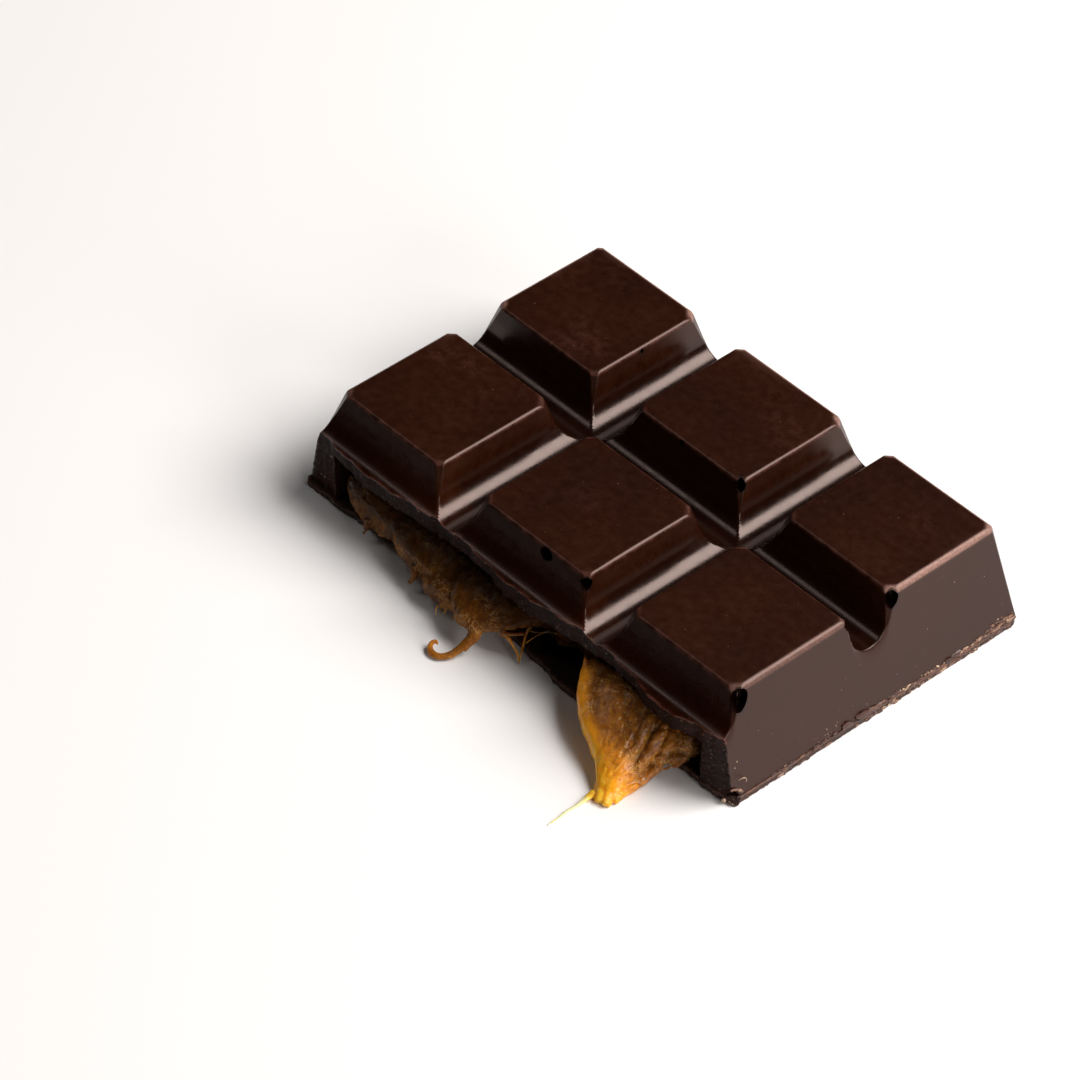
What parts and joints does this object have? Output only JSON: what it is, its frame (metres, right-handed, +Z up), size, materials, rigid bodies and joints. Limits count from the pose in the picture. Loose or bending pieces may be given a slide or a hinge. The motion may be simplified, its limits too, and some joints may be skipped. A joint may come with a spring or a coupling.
{
  "type": "chocolate bar",
  "caption": "Broken block of a moulded dark chocolate bar with raised squares and a soft amber filling that hangs out of the broken side.",
  "frame": {"origin": "centre of the flat underside of the bottom layer, on the table", "axes": "+Z up, +X along the longer side of the block, +Y away from the broken side, so the filling hangs out towards -Y"},
  "size_m": [0.0732, 0.0656, 0.0153],
  "materials": {
    "dark_chocolate": "satin dark chocolate with polished grooves, worn edges and a rough broken side",
    "base_chocolate": "dull dark chocolate, crumbly along its seam",
    "amber_filling": "translucent sticky amber filling, fibrous where it is pulled"
  },
  "bodies": {
    "root": {"chocolate_shell": "dark_chocolate", "base_layer": "base_chocolate", "filling": "amber_filling"}
  },
  "joints": []
}
